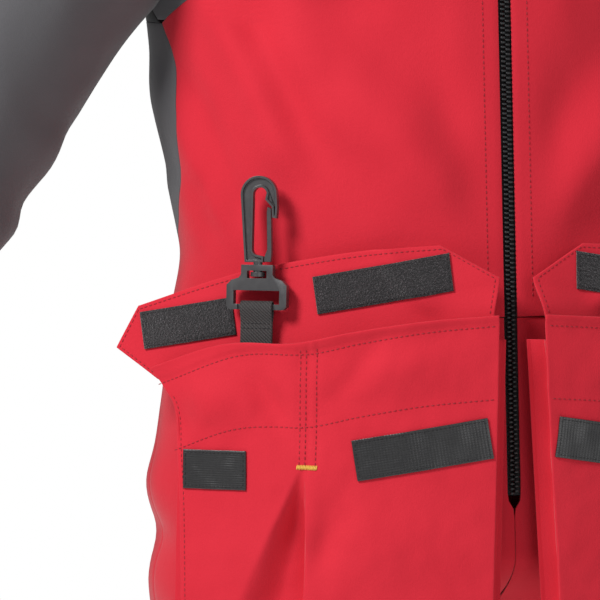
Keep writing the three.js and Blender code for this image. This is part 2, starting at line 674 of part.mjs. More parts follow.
// ---------------------------------------------------------------- hanger loop
const LOOP_RADIUS = 3.4;
const HANG_Y = backY(NECK_Z) + 9.6;
const HANG_Z = NECK_Z + 25.6;

function makeHangerLoop() {
  const y = HANG_Y - 9;
  const foot = HANG_Z - 37.6;
  const line = new THREE.CatmullRomCurve3([
    new THREE.Vector3(-26, y + 12, foot), new THREE.Vector3(-24, y + 10, foot + 16),
    new THREE.Vector3(-12, y + 9, foot + 34), new THREE.Vector3(12, y + 9, foot + 34),
    new THREE.Vector3(24, y + 10, foot + 16), new THREE.Vector3(26, y + 12, foot),
  ]);
  const section = new THREE.Shape();
  section.absellipse(0, 0, LOOP_RADIUS, LOOP_RADIUS, 0, Math.PI * 2, false, 0);
  const along = { steps: 14, extrudePath: line, curveSegments: 3 };
  const body = new THREE.ExtrudeGeometry(section, along);
  add('hanger_loop', closed(body), BLACK);
}

makeTorso();
makeSleeves();
makeCollar();
makeTrousers();
makeZip();
makePocket();
makeHookPatches();
makeFlap();
makeLoopPatches();
makeStrap();
makeHookBase();
makeHook();
makeHangerLoop();

// The origin is the top of the hanger loop, by which the suit hangs.
suit.position.set(0, -HANG_Y, -HANG_Z);

export default suit;
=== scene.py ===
# A one-piece ski suit of red and grey softshell, hanging by its loop in its worn shape.
import json
from math import asin, cos, degrees, exp, hypot, pi, radians, sin

import bmesh
import bpy
from mathutils import Matrix, Vector, noise


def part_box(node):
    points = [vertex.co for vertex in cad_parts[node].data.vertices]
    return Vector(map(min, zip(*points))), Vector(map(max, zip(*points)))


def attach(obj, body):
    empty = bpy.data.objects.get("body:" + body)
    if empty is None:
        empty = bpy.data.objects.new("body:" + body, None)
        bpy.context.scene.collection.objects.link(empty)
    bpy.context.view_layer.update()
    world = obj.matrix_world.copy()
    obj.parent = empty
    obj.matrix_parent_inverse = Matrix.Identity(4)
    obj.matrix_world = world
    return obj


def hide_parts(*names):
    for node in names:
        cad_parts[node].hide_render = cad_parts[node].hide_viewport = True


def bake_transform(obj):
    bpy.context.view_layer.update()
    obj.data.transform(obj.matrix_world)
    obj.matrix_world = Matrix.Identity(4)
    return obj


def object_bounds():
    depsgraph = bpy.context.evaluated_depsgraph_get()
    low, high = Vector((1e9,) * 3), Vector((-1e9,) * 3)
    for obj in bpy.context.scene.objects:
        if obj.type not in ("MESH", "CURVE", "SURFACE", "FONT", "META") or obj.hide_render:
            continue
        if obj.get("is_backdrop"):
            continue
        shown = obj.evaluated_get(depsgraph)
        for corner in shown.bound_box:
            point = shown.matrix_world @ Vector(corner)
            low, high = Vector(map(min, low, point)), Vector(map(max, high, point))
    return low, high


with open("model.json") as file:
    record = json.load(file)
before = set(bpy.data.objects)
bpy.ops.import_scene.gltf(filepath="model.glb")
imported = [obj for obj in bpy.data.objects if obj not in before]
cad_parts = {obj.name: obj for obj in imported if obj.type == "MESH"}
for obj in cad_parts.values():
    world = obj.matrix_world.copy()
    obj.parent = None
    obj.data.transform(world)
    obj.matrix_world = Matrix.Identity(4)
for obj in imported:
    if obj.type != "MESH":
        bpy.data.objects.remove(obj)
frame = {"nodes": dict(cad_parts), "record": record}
cad_low, cad_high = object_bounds()

# ---------------------------------------------------------------------------- camera
# A long lens a few metres off, level with the open right pocket and turned a little
# towards the wearer's right side, so the flap, the hook and the side seam all show.
flap_low, flap_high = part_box("pocket_flap_right")
aim = Vector((flap_low.x + 0.1035, flap_low.y + 0.05, flap_high.z - 0.0345))
turn, tilt = radians(-12), radians(5)
distance = 3.2
seen_width = 0.368
toward = Vector((sin(turn) * cos(tilt), -cos(turn) * cos(tilt), sin(tilt)))
lens = bpy.data.cameras.new("camera")
lens.sensor_width = 36
lens.lens = 36 * distance / seen_width
lens.clip_end = 60
camera = bpy.data.objects.new("camera", lens)
camera.location = aim + toward * distance
camera.rotation_euler = toward.to_track_quat("Z", "Y").to_euler()
bpy.context.collection.objects.link(camera)
bpy.context.scene.camera = camera
bpy.context.scene.view_settings.view_transform = "Standard"

# ---------------------------------------------------------------------------- trunk
# The torso is sewn from softshell panels: two red fronts that meet at the zip, a grey
# tear-drop under each arm, near-black armpit gussets, grey raglan yokes and a red back.
# The gussets' near-black is painted shade: it stands for the deep shade in the armpit.
# All of them lie on one body form, and each is cut from cloth 1.4 mm thick.
MM = 0.001
HANG = Vector((0, 79.6, 1465.6))  # the loop's top, when the suit is measured from the soles up
CLOTH = 1.4
WAIST, SIDE_PANEL_FOOT, ARMHOLE, GUSSET_TOP, NECK = 1005, 1043.6, 1183, 1235, 1440
SEAM = 0.3  # the gap between two panels, where they are sewn
ZIP_GAP = 4  # from the centre line to a front edge
SIDES = (("left", 1), ("right", -1))


def smooth(*pairs):
    """A smooth curve through (place, value) pairs, level beyond its ends."""
    places = [p for p, _ in pairs]
    values = [v for _, v in pairs]
    last = len(pairs) - 1
    slopes = []
    for n in range(last + 1):
        a, b = max(n - 1, 0), min(n + 1, last)
        slopes.append((values[b] - values[a]) / (places[b] - places[a]))

    def curve(at):
        if at <= places[0]:
            return values[0]
        if at >= places[-1]:
            return values[-1]
        n = max(k for k in range(last) if places[k] <= at)
        span = places[n + 1] - places[n]
        s = (at - places[n]) / span
        rise = values[n + 1] - values[n]
        a = slopes[n] * span - rise
        b = rise - slopes[n + 1] * span
        return values[n] + rise * s + s * (1 - s) * (a * (1 - s) + b * s)

    return curve


def bent(*pairs):
    """Straight runs through (place, value) pairs, for an outline with corners."""

    def line(at):
        for (a, low), (b, high) in zip(pairs, pairs[1:]):
            if at <= b:
                return low + (high - low) * max(0, at - a) / (b - a)
        return pairs[-1][1]

    return line


def ease(low, high, at):
    """0 below low and 1 above high, with a soft change between them."""
    s = min(max((at - low) / (high - low), 0), 1)
    return s * s * (3 - 2 * s)


FRONT_FOOT, FRONT_LEAN = -142, 0.1


def front_y(z):
    """The front's middle line, which leans back a little as it rises."""
    return FRONT_FOOT + FRONT_LEAN * (z - 850)


half_width = smooth(
    (775, 201), (870, 199), (909, 197), (961, 194), (1005, 188), (1040, 183), (1101, 191),
    (1144, 198), (1178, 201), (1210, 204), (1260, 203), (1320, 192), (1370, 166), (1400, 134),
    (1440, 80), (1482, 75),
)
back_y = smooth(
    (775, 118), (870, 132), (920, 132), (961, 124), (1005, 114), (1040, 109), (1120, 118),
    (1200, 130), (1300, 128), (1370, 112), (1410, 92), (1440, 70), (1482, 62),
)
def trunk(turn, z):
    """The trunk's outline, turn degrees from the front towards the wearer's left."""
    middle, depth = (back_y(z) + front_y(z)) / 2, (back_y(z) - front_y(z)) / 2
    return Vector((half_width(z) * sin(radians(turn)), middle - depth * cos(radians(turn))))


def outward(outline, turn, z, off):
    """A point of the outline moved out by off."""
    along = (outline(turn + 0.5, z) - outline(turn - 0.5, z)).normalized()
    at = outline(turn, z)
    return Vector((at.x + along.y * off, at.y - along.x * off, z))


def worn(at, size, depth):
    """Soft hollows and swells of worn cloth, size across and depth deep."""
    here = Vector((at.x, at.y, at.z * 0.7)) / size
    return depth * (noise.noise(here) + 0.35 * noise.noise(here * 2.6))


def crease(at, start, end, width, depth):
    """A soft fold along a line on the front, given by (x, z) of its two ends."""
    a, b, p = Vector(start), Vector(end), Vector((at.x, at.z))
    run = b - a
    s = (p - a).dot(run) / run.length_squared
    off = (p - a - run * s).dot(Vector((-run.y, run.x)).normalized())
    fade = ease(-0.25, 0.2, s) * (1 - ease(0.8, 1.25, s))
    return depth * fade * (off / width) * exp(0.5 - 0.5 * (off / width) ** 2)


front_creases = (
    ((-166, 1206), (-124, 1104), 9, -4.6),
    ((-192, 1150), (-160, 1058), 6.5, -3.4),
    ((-182, 1086), (-174, 1046), 5, -2.0),
    ((-118, 1192), (-24, 1100), 22, -5.0),
    ((-90, 1120), (-30, 1050), 16, 2.4),
    ((-60, 1300), (-140, 1215), 15, 3.6),
    ((-40, 1260), (-150, 1290), 12, -3.0),
)


def torso_folds(at):
    """How far the torso's cloth stands off the form."""
    calm = ease(14, 44, abs(at.x)) * (1 - 0.8 * ease(1070, 1030, at.z))
    calm *= 1 - 0.6 * ease(1400, 1440, at.z)
    side = Vector((-abs(at.x), at.y, at.z))
    folds = worn(at, 70, 3.6) * (1 - 0.7 * ease(145, 180, abs(at.x)))
    if at.y < 20:
        for start, end, width, depth in front_creases:
            folds += crease(side, start, end, width, depth)
    else:
        folds += 1.6 * sin(at.z / 9 + 0.02 * at.x) * exp(-(((at.z - 1040) / 30) ** 2))
    return folds * calm


def new_piece(name, bm, paint, body):
    """A piece from a finished bmesh; a piece given no body is left unattached."""
    mesh = bpy.data.meshes.new(name)
    bm.to_mesh(mesh)
    bm.free()
    mesh.polygons.foreach_set("use_smooth", [True] * len(mesh.polygons))
    piece = bpy.data.objects.new(name, mesh)
    bpy.context.collection.objects.link(piece)
    mesh.materials.append(paint)
    if body:
        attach(piece, body)
    return piece


def thicken(piece, wall, edge=0.35):
    """Gives a one-sided cloth its thickness inwards, and turns its edges round."""
    solid = piece.modifiers.new("wall", "SOLIDIFY")
    solid.thickness = wall * MM
    solid.offset = -1
    if edge:
        rim = piece.modifiers.new("rim", "BEVEL")
        rim.width = edge * MM
        rim.segments = 2
        rim.limit_method = "ANGLE"
        rim.angle_limit = radians(50)


def cloth(name, cells, place, paint, body="suit", wall=CLOTH, cut=None, wrap=False,
          edge=0.35, flip=False):
    """A piece of cloth: a grid whose points go to place(i, j), each from 0 to 1.
    Cells for which cut(point) is true all round are taken out. A tube is closed by wrap,
    and flip turns the cloth so that its outside faces out."""
    bm = bmesh.new()
    bmesh.ops.create_grid(bm, x_segments=cells[0], y_segments=cells[1], size=0.5)
    lay = bm.loops.layers.uv.new("cut")
    for face in bm.faces:
        for corner in face.loops:
            corner[lay].uv = (corner.vert.co.x + 0.5, corner.vert.co.y + 0.5)
    for vert in bm.verts:
        vert.co = place(vert.co.x + 0.5, vert.co.y + 0.5)
    if cut:
        inside = {vert for vert in bm.verts if cut(vert.co)}
        gone = [face for face in bm.faces if all(vert in inside for vert in face.verts)]
        bmesh.ops.delete(bm, geom=gone, context="FACES")
    for vert in bm.verts:
        vert.co = (vert.co - HANG) * MM
    if wrap:
        bmesh.ops.remove_doubles(bm, verts=bm.verts[:], dist=1e-5)
    if flip:
        bmesh.ops.reverse_faces(bm, faces=bm.faces[:])
    piece = new_piece(name, bm, paint, body)
    thicken(piece, wall, edge)
    return piece


class Value:
    """A number that varies over a surface; the usual operators add Math nodes."""

    def __init__(self, paint, socket):
        self.paint, self.socket = paint, socket

    def _math(self, operation, *values):
        made = self.paint.node("ShaderNodeMath", {"operation": operation}, dict(enumerate(values)))
        return Value(self.paint, made.outputs[0])

    def __add__(self, other):
        return self._math("ADD", self, other)

    def __mul__(self, other):
        return self._math("MULTIPLY", self, other)

    def __sub__(self, other):
        return self._math("SUBTRACT", self, other)

    def __rsub__(self, other):
        return self._math("SUBTRACT", other, self)

    def sine(self):
        return self._math("SINE", self)

    __radd__ = __add__
    __rmul__ = __mul__


class Nodes:
    """A tree of nodes, which all come from the one method."""

    def __init__(self, tree):
        self.tree = tree

    def node(self, kind, settings=None, inputs=None):
        made = self.tree.nodes.new(kind)
        for key, value in (settings or {}).items():
            setattr(made, key, value)
        for key, value in (inputs or {}).items():
            if isinstance(value, Value):
                self.tree.links.new(value.socket, made.inputs[key])
            elif isinstance(value, bpy.types.NodeSocket):
                self.tree.links.new(value, made.inputs[key])
            else:
                made.inputs[key].default_value = value
        return made


class Paint(Nodes):
    """A material being mixed."""

    def __init__(self, name, **constants):
        self.material = bpy.data.materials.new(name)
        self.material.use_nodes = True
        super().__init__(self.material.node_tree)
        self.shader = self.tree.nodes["Principled BSDF"]
        for socket, value in constants.items():
            self.shader.inputs[socket.replace("_", " ")].default_value = value

    def place(self):
        return self.node("ShaderNodeTexCoord").outputs["Object"]

    def speckle(self, scale, detail=2.0, rough=0.5, at=None):
        made = self.node("ShaderNodeTexNoise", None, {
            "Vector": at or self.place(), "Scale": scale, "Detail": detail, "Roughness": rough,
        })
        return Value(self, made.outputs["Fac"])

    def cut(self, across, along):
        """How many threads across and along the piece, as two phases."""
        flat = self.node("ShaderNodeUVMap", {"uv_map": "cut"}).outputs[0]
        parts = self.node("ShaderNodeSeparateXYZ", None, {0: flat})
        wide, long = Value(self, parts.outputs[0]), Value(self, parts.outputs[1])
        return wide * (across * 2 * pi), long * (along * 2 * pi)

    def blend(self, share, low, high):
        ends = {0: share, 6: (*low, 1), 7: (*high, 1)}
        return self.node("ShaderNodeMix", {"data_type": "RGBA"}, ends).outputs[2]

    def set(self, socket, value):
        source = value.socket if isinstance(value, Value) else value
        self.tree.links.new(source, self.shader.inputs[socket])

    def bump(self, height, depth, strength=1.0):
        relief = {"Height": height, "Distance": depth, "Strength": strength}
        self.set("Normal", self.node("ShaderNodeBump", None, relief).outputs[0])


def softshell(name, dark, light):
    """Matt woven softshell: a fine grain, slight mottling, a soft sheen."""
    paint = Paint(name, Roughness=0.82, Sheen_Weight=0.18, Sheen_Roughness=0.4, Specular_IOR_Level=0.28)
    mottle = paint.speckle(26, 3.0)
    grain = paint.speckle(1300, 2.0, 0.65)
    paint.set("Base Color", paint.blend(mottle * 0.5 + grain * 0.5, dark, light))
    paint.bump(grain + paint.speckle(380, 2.0) * 0.6, 0.00032, 0.55)
    return paint.material


RED = softshell("red_softshell", (0.52, 0.008, 0.022), (0.66, 0.020, 0.040))
GREY = softshell("grey_softshell", (0.078, 0.075, 0.080), (0.118, 0.114, 0.121))
# Near-black cloth for the hem bands and the hanger loop. On the underarm gussets the same near-black is
# painted shade, put where the armpit lies in deep shade.
BLACK_AND_ARMPIT_SHADE = softshell("black_softshell_and_armpit_shade", (0.008, 0.008, 0.009), (0.020, 0.019, 0.021))

front_edge = bent(
    (1005, 97), (1043, 97), (1060, 87), (1082, 79.5), (1125, 74.6), (1157, 73.5), (1169, 74.6),
    (1183, 78), (1207, 58), (1300, 45), (1350, 40), (1440, 44),
)
back_edge = bent(
    (1005, 97), (1043, 97.4), (1060, 105), (1082, 110), (1125, 116), (1183, 120), (1207, 126),
    (1300, 130), (1440, 132),
)
gusset_edge = bent((1183, 79), (1197, 86), (1235, 90))


def zip_edge(z):
    """The turn, in degrees, at which a front ends beside the zip."""
    return degrees(asin(ZIP_GAP / half_width(z)))


def short_of(edge):
    """An edge that stops a seam's width before another."""
    return lambda z: edge(z) - degrees(SEAM / half_width(z))


def side_line(z):
    """The turn, in degrees, of the line where the two yokes meet."""
    return 90


# The sleeves' tubes run into the trunk, and the torso's panels are cut away inside them.
sleeve_points = [
    Vector((120, 8, 1322)), Vector((200, 8, 1298)), Vector((272, 6, 1222)),
    Vector((346, 0, 1090)), Vector((406, -22, 965)), Vector((456, -48, 855)),
]
sleeve_x, sleeve_y, sleeve_z = (
    smooth(*[(n / 5, point[axis]) for n, point in enumerate(sleeve_points)]) for axis in range(3)
)
sleeve_radius = smooth((0, 62), (0.2, 78), (0.4, 74), (0.7, 62), (1, 50))


def sleeve_at(share):
    """The arm's middle line, from 0 in the shoulder to 1 at the wrist."""
    return Vector((sleeve_x(share), sleeve_y(share), sleeve_z(share)))


def in_sleeve(point, spare=2.5):
    """True inside either sleeve's tube, spare mm or more below its skin."""
    here = Vector((abs(point.x), point.y, point.z))
    if here.z < 1120 or here.x < 60:
        return False
    share = min((n / 24 for n in range(25)), key=lambda s: (sleeve_at(s) - here).length)
    if share == 0:
        return False
    along = (sleeve_at(share + 0.01) - sleeve_at(share - 0.01)).normalized()
    rest = here - sleeve_at(share)
    return (rest - along * rest.dot(along)).length < sleeve_radius(share) - spare


def frame_slot(name):
    """The material slot that the record gives a node."""
    return next(s["material_slot"] for s in frame["record"]["subparts"] if s["node"] == name)


def torso_piece(name, low_edge, high_edge, low, high, cells, paint, flat, area):
    def place(i, j):
        z = low + (high - low) * j
        turn = low_edge(z) + (high_edge(z) - low_edge(z)) * i
        at = outward(trunk, turn, z, 0)
        return outward(trunk, turn, z, torso_folds(at))

    piece = cloth(name, cells, place, paint, cut=in_sleeve)
    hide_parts(name)
    frame_slot(name)
    return piece


for side, sign in SIDES:
    for name, inner, outer, low, high, cells, paint, flat, area in (
        ("front_panel", zip_edge, short_of(front_edge), WAIST + SEAM, NECK,
         (52, 110), RED, (0.27, 0.45), 0.085),
        ("side_panel", front_edge, short_of(back_edge), SIDE_PANEL_FOOT, ARMHOLE - SEAM,
         (24, 36), GREY, (0.12, 0.14), 0.0105),
        # The gussets' near-black is painted shade for the armpit's deep shade.
        ("underarm_gusset", gusset_edge, short_of(back_edge), ARMHOLE, GUSSET_TOP - SEAM,
         (36, 16), BLACK_AND_ARMPIT_SHADE, (0.15, 0.052), 0.0040),
        ("yoke_front", front_edge, short_of(gusset_edge), ARMHOLE + 2, NECK,
         (30, 68), GREY, (0.14, 0.29), 0.0150),
        ("yoke_back", side_line, short_of(back_edge), GUSSET_TOP, NECK,
         (30, 56), GREY, (0.14, 0.24), 0.0125),
    ):
        edges = [lambda z, edge=edge: sign * edge(z) for edge in (inner, outer)[::sign]]
        torso_piece(f"{name}_{side}", *edges, low, high, cells, paint, flat, area)
torso_piece("back_panel", back_edge, lambda z: 360 - back_edge(z), WAIST + SEAM, NECK,
            (90, 110), RED, (0.40, 0.45), 0.13)

# ---------------------------------------------------------------------------- sleeves
# Each sleeve is one tube of grey softshell, sewn flush into the armhole, with a knitted
# black cuff folded double at the wrist.


def tube_point(middle, along, angle, radius):
    """A point on a round tube, angle radians from the side away from the body."""
    across = along.cross(Vector((0, 1, 0))).normalized()
    upright = across.cross(along)
    return middle + across * radius * cos(angle) - upright * radius * sin(angle)


def sleeve_point(i, j, start, end, grow, folded):
    """i goes round the sleeve and j along it; the folds gather at elbow and wrist."""
    share = start + (end - start) * j
    along = (sleeve_at(share + 0.02) - sleeve_at(share - 0.02)).normalized()
    at = tube_point(sleeve_at(share), along, 2 * pi * i, sleeve_radius(share) + grow)
    if not folded:
        return at
    elbow = exp(-(((share - 0.62) / 0.10) ** 2)) + 0.6 * exp(-(((share - 0.88) / 0.07) ** 2))
    inner = 0.35 + 0.65 * max(0, -cos(2 * pi * i))
    rings = sin(share * 95 + 2.2 * noise.noise(at / 45)) * 2.6 * elbow * inner
    out = (at - sleeve_at(share)).normalized()
    return at + out * (rings + worn(at, 55, 3.0) - 1.0)


def in_trunk(point):
    """True where the sleeve's tube is inside the trunk, 4 mm or more below its skin."""
    z = point.z
    if not WAIST < z < NECK:
        return False
    middle, depth = (back_y(z) + front_y(z)) / 2, (back_y(z) - front_y(z)) / 2
    return hypot(point.x / (half_width(z) - 4), (point.y - middle) / (depth - 4)) < 1


knit = Paint("knitted_cuff", Roughness=0.9, Sheen_Weight=0.15)
CUFF_RIBS = 60
rib = knit.cut(CUFF_RIBS, 20)[0].sine()
knit.set("Base Color", knit.blend(rib * 0.5 + 0.5, (0.006, 0.006, 0.007), (0.026, 0.025, 0.028)))
knit.bump(rib, 0.0006, 0.7)
CUFF_START = 0.927  # where the cuff is sewn on, as a share of the arm's length
for side, sign in SIDES:
    mirror = Vector((sign, 1, 1))

    def side_sleeve(i, j):
        return sleeve_point(i, j, 0, CUFF_START - 0.001, 0, True) * mirror

    def side_cuff(i, j):
        at = sleeve_point(i, j, CUFF_START, 1, -1.2, False)
        return (at + (at - sleeve_at(0.96)).normalized() * 0.5 * sin(CUFF_RIBS * 2 * pi * i)) * mirror

    sleeve = cloth(f"sleeve_{side}", (84, 130), side_sleeve, GREY,
                   cut=in_trunk, wrap=True, flip=sign > 0)
    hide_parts(f"sleeve_{side}")
    cuff = cloth(f"cuff_{side}", (240, 10), side_cuff, knit.material,
                 wall=2.2, wrap=True, flip=sign > 0)
    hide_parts(f"cuff_{side}")

# ---------------------------------------------------------------------------- collar
# A stand collar of doubled red softshell, sewn round the neck. It is open at the front,
# where the zip runs up nearly to its top edge.
COLLAR_TOP = 1482


def collar_point(i, j):
    z = NECK + SEAM + (COLLAR_TOP - NECK - SEAM) * j
    turn = zip_edge(z) + (360 - 2 * zip_edge(z)) * i
    return outward(trunk, turn, z, 0.8 * sin(3 * radians(turn)) * j)


collar = cloth("collar", (110, 12), collar_point, RED, wall=2.3, edge=0.9)
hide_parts("collar")

# ---------------------------------------------------------------------------- trousers
# Four long red panels from the waist seam to the ankle, sewn at the rise, the inside
# leg and the side; the cloth breaks behind the knee and above the hem. A black band
# of tougher cloth goes round each ankle.
CROTCH, PINCH, ZIP_BOTTOM = 775, 860, 896  # the legs divide between CROTCH and PINCH
HEM, BAND_TOP = 20, 80
leg_width = smooth((20, 74), (260, 72), (480, 82), (620, 94), (775, 100))
leg_centre = smooth((20, 116), (480, 108), (775, 100.3))
leg_front = smooth((20, -78), (260, -76), (480, -92), (620, -104), (775, -118))
leg_back = smooth((20, 82), (260, 84), (480, 86), (620, 100), (775, 112))


def trousers(turn, z):
    """The left half of the outline, which divides into a leg below the pinch."""
    leg = radians(2 * turn)
    middle, depth = (leg_front(z) + leg_back(z)) / 2, (leg_back(z) - leg_front(z)) / 2
    lobe = Vector((leg_centre(z) - leg_width(z) * cos(leg), middle - depth * sin(leg)))
    return trunk(turn, max(z, CROTCH)).lerp(lobe, 1 - ease(CROTCH, PINCH, z))


trouser_seam = bent((PINCH, 90), (WAIST, 97))


def rise_edge(z):
    """The fronts meet on the centre line up to the zip's bottom, and part above it."""
    return 0.04 + ease(ZIP_BOTTOM - 10, ZIP_BOTTOM - 1, z) * zip_edge(max(z, CROTCH))


def trouser_folds(at, turn, z):
    """How far the cloth of the legs stands off the form, flatter under the pocket."""
    calm = ease(0, 16, turn) * (1 - ease(166, 180, turn)) * (1 - 0.9 * ease(940, 1000, z))
    behind = max(0, sin(radians(2 * turn - 180))) if turn > 90 else 0.25
    knee = exp(-(((z - 500) / 55) ** 2)) * behind
    hem = exp(-(((z - 130) / 50) ** 2))
    wave = 2.4 * noise.noise(at / 55)
    hang = worn(at, 75, 4.6)
    slant = 6 * wave * sin(radians(2 * turn))
    bunch = 3.4 * sin((z + slant) / 10) * knee + 2.6 * sin((z + slant) / 12 + turn / 24) * hem
    under_pocket = ease(780, 810, z) * ease(100, 80, turn)
    beside = exp(-(((turn - 92) / 14) ** 2))
    slump = 5.0 * exp(-(((z - 893) / 17) ** 2)) - 5.0 * exp(-(((z - 861) / 12) ** 2))
    slump += 2.5 * sin(z / 13) * ease(770, 800, z) * ease(858, 825, z)
    return (hang + bunch) * calm * (1 - 0.8 * under_pocket) - 1.2 * under_pocket + slump * beside * 0.9


def trouser_piece(name, low_edge, high_edge, sign):
    def place(i, j):
        z = BAND_TOP + SEAM + (WAIST - SEAM - BAND_TOP - SEAM) * j
        turn = low_edge(z) + (high_edge(z) - low_edge(z)) * (i if sign > 0 else 1 - i)
        at = outward(trousers, turn, z, 0)
        at = outward(trousers, turn, z, trouser_folds(at, turn, z))
        at.x = max(at.x, 0.06)
        return at * Vector((sign, 1, 1))

    piece = cloth(name, (48, 190), place, RED)
    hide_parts(name)


for side, sign in SIDES:
    trouser_piece(f"trouser_front_{side}", rise_edge, lambda z: trouser_seam(z) - 0.12, sign)
    trouser_piece(f"trouser_back_{side}", trouser_seam, lambda z: 179.85, sign)

    def band_point(i, j):
        z = HEM + (BAND_TOP - HEM) * j
        return outward(trousers, 180 * (i if sign > 0 else 1 - i), z, 0.3) * Vector((sign, 1, 1))

    band = cloth(f"hem_band_{side}", (90, 14), band_point, BLACK_AND_ARMPIT_SHADE, wrap=True, wall=1.7)
    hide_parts(f"hem_band_{side}")

# ---------------------------------------------------------------------------- topstitching
# Rows of lockstitch in matching thread. Each stitch is a small grain of thread that
# lies in the cloth, about 2.5 mm long.


def thread_paint(name, colour):
    """Twisted thread, darker where it turns under."""
    paint = Paint(name, Roughness=0.6)
    twist = paint.speckle(2600, 1.0)
    paint.set("Base Color", paint.blend(twist, tuple(c * 0.7 for c in colour), colour))
    return paint.material


RED_THREAD = thread_paint("red_thread", (0.36, 0.010, 0.022))


def stitch_rows(name, rows, paint, body="suit", pitch=3.3, length=2.5, width=0.34):
    """Rows is a list of lines; a line is a function from 0..1 to a point in mm."""
    bm = bmesh.new()
    for row in rows:
        marks = [row(n / 160) for n in range(161)]
        runs = [0.0]
        for a, b in zip(marks, marks[1:]):
            runs.append(runs[-1] + (b - a).length)
        count = max(1, int(runs[-1] / pitch))
        for n in range(count):
            reach = (n + 0.5) * runs[-1] / count
            k = max(m for m in range(160) if runs[m] <= reach)
            share = (reach - runs[k]) / max(runs[k + 1] - runs[k], 1e-6)
            along = (marks[k + 1] - marks[k]).normalized()
            middle = (marks[k].lerp(marks[k + 1], share) - HANG) * MM
            turned = along.to_track_quat("X", "Z").to_matrix().to_4x4()
            size = Matrix.Diagonal((length / 2 * MM, width * MM, width * MM, 1))
            bmesh.ops.create_icosphere(
                bm, subdivisions=1, radius=1, matrix=Matrix.Translation(middle) @ turned @ size
            )
    return new_piece(name, bm, paint, body)


PLACKET = 14  # from the centre line to the row beside the zip


def placket(s, sign):
    z = WAIST + 12 + (NECK - 12 - WAIST) * s
    turn = sign * degrees(asin(PLACKET / half_width(z)))
    return outward(trunk, turn, z, torso_folds(outward(trunk, turn, z, 0)) + 0.12)


placket_rows = [lambda s, sign=sign: placket(s, sign) for _, sign in SIDES]
placket_thread = stitch_rows("placket_stitching", placket_rows, RED_THREAD)

# ---------------------------------------------------------------------------- zip
# A moulded plastic zip behind the front edges: two woven tapes, two rows of teeth that
# interlock on the centre line, and a cast slider with a flat pull.
TAPE_WIDTH, TAPE_DEPTH = 14.6, -3.2
TOOTH_PITCH, TOOTH_SIZE = 2.9, (2.9 * MM, 2.6 * MM, 1.35 * MM)
TOOTH_TILT = -0.0997  # the front's lean, in radians
zip_out = Vector((0, -1, FRONT_LEAN)).normalized()


def on_zip(x, out, z):
    return Vector((x, front_y(z), z)) + zip_out * out


tape_paint = Paint("woven_tape", Roughness=0.85)
warp, weft = tape_paint.cut(16, 500)
tape_weave = warp.sine() * weft.sine()
tape_colour = tape_paint.blend(tape_weave * 0.5 + 0.5, (0.008, 0.008, 0.009), (0.022, 0.021, 0.023))
tape_paint.set("Base Color", tape_colour)
tape_paint.bump(tape_weave, 0.0002, 0.6)
tooth_paint = Paint("moulded_teeth", Roughness=0.38)
tooth_colour = tooth_paint.blend(tooth_paint.speckle(300), (0.010, 0.010, 0.011), (0.018, 0.018, 0.019))
tooth_paint.set("Base Color", tooth_colour)
for side, sign in SIDES:
    def tape_point(i, j):
        z = ZIP_BOTTOM + (COLLAR_TOP - 3 - ZIP_BOTTOM) * j
        x = 0.2 + TAPE_WIDTH * (i if sign > 0 else 1 - i)
        return outward(trunk, sign * degrees(asin(x / half_width(z))), z, TAPE_DEPTH)

    tape = cloth(f"zip_tape_{side}", (8, 120), tape_point, tape_paint.material, wall=0.7, edge=0)
    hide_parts(f"zip_tape_{side}")
    bm = bmesh.new()
    for n in range(int((COLLAR_TOP - 8 - ZIP_BOTTOM) / TOOTH_PITCH)):
        z = ZIP_BOTTOM + 1.5 + (n + (0.5 if sign > 0 else 0)) * TOOTH_PITCH
        middle = (on_zip(sign * 1.45, -0.5, z) - HANG) * MM
        size = Matrix.Diagonal((*TOOTH_SIZE, 1))
        lean = Matrix.Rotation(TOOTH_TILT, 4, "X")
        bmesh.ops.create_cube(bm, size=1, matrix=Matrix.Translation(middle) @ lean @ size)
    bmesh.ops.bevel(bm, geom=bm.edges[:], offset=0.00028, affect="EDGES", segments=1,
                    profile=0.5, material=-1)
    teeth = new_piece(f"zip_teeth_{side}", bm, tooth_paint.material, "suit")
    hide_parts(f"zip_teeth_{side}")

metal = Paint("blackened_metal", Metallic=0.85, Roughness=0.36)
metal.set("Base Color", metal.blend(metal.speckle(420, 3.0), (0.030, 0.030, 0.032), (0.075, 0.073, 0.076)))
metal.bump(metal.speckle(900, 3.0), 0.00008, 0.4)


def softened(node, body, paint, edge):
    """A hard node made again from a merged copy, with its edges rounded."""
    bm = bmesh.new()
    bm.from_mesh(frame["nodes"][node].data)
    bmesh.ops.remove_doubles(bm, verts=bm.verts[:], dist=1e-6)
    bmesh.ops.dissolve_limit(bm, angle_limit=radians(1), verts=bm.verts[:], edges=bm.edges[:])
    piece = new_piece(node, bm, paint, body)
    rim = piece.modifiers.new("rim", "BEVEL")
    rim.width = edge * MM
    rim.segments = 3
    rim.limit_method = "ANGLE"
    rim.angle_limit = radians(32)
    rim.harden_normals = True
    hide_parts(node)
    return piece


softened("zip_slider", "slider", metal.material, 0.4)
softened("zip_pull", "pull", metal.material, 0.45)

